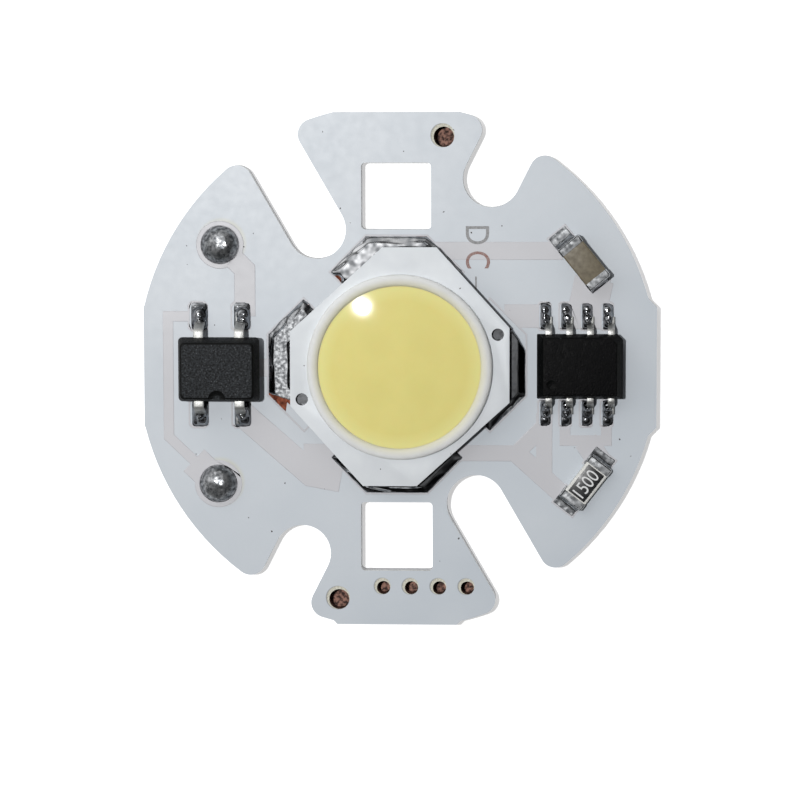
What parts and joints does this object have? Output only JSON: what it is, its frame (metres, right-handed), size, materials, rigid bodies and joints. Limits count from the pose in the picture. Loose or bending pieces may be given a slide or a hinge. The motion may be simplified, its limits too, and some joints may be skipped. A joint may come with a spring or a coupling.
{
  "type": "chip-on-board led module",
  "caption": "Round mains LED board with a central chip-on-board light source, a bridge rectifier, a linear driver and two chip components on white-masked aluminium.",
  "frame": {"origin": "centre of the board's circle, on the bare underside that lies on the heat sink", "axes": "+Z out of the lit face, +Y towards the tab with one drilled hole, +X towards the eight-lead driver"},
  "size_m": [0.0315, 0.0316, 0.0037],
  "materials": {
    "aluminium_plate": "bare milled aluminium, satin",
    "insulation": "filled epoxy, matt",
    "copper": "copper foil under the mask",
    "white_mask": "printed solder mask, satin",
    "source_plate": "white reflective plate, satin",
    "dam_silicone": "milky silicone, glossy",
    "phosphor": "yellow phosphor in clear silicone, glossy",
    "die": "epitaxial chip, polished",
    "gold": "gold wire, bright",
    "solder": "reflowed solder, bright",
    "tinned_lead": "matt tin over copper alloy",
    "mould_compound": "black epoxy, fine matt grain",
    "capacitor_ceramic": "sintered grey-tan ceramic, satin",
    "alumina": "white alumina, satin",
    "resistor_glaze": "black glaze, glossy",
    "thermal_paste": "grey thermal compound, matt"
  },
  "bodies": {
    "root": {"base_plate": "aluminium_plate", "bond_wires": "gold", "bridge_body": "mould_compound", "bridge_lead_lower_left": "tinned_lead", "bridge_lead_lower_right": "tinned_lead", "bridge_lead_upper_left": "tinned_lead", "bridge_lead_upper_right": "tinned_lead", "bridge_solder_lower": "solder", "bridge_solder_upper": "solder", "capacitor_body": "capacitor_ceramic", "capacitor_cap_a": "tinned_lead", "capacitor_cap_b": "tinned_lead", "capacitor_solder_a": "solder", "capacitor_solder_b": "solder", "copper_drain": "copper", "copper_led_return": "copper", "copper_line": "copper", "copper_neutral": "copper", "copper_return": "copper", "copper_sense": "copper", "copper_spare_pad": "copper", "copper_supply": "copper", "dam_ring": "dam_silicone", "dielectric": "insulation", "driver_body": "mould_compound", "driver_lead_lower_1": "tinned_lead", "driver_lead_lower_2": "tinned_lead", "driver_lead_lower_3": "tinned_lead", "driver_lead_lower_4": "tinned_lead", "driver_lead_upper_1": "tinned_lead", "driver_lead_upper_2": "tinned_lead", "driver_lead_upper_3": "tinned_lead", "driver_lead_upper_4": "tinned_lead", "driver_solder_lower": "solder", "driver_solder_upper": "solder", "led_dies": "die", "mains_solder_lower": "solder", "mains_solder_upper": "solder", "phosphor": "phosphor", "plate": "source_plate", "plate_mask": "white_mask", "plate_solder_east": "solder", "plate_solder_north": "solder", "plate_solder_south": "solder", "plate_solder_west": "solder", "plate_track_minus": "copper", "plate_track_plus": "copper", "resistor_body": "alumina", "resistor_cap_a": "tinned_lead", "resistor_cap_b": "tinned_lead", "resistor_coat": "resistor_glaze", "resistor_solder_a": "solder", "resistor_solder_b": "solder", "solder_mask": "white_mask", "thermal_bond": "thermal_paste", "via_fill_minus": "solder", "via_fill_plus": "solder"}
  },
  "joints": []
}
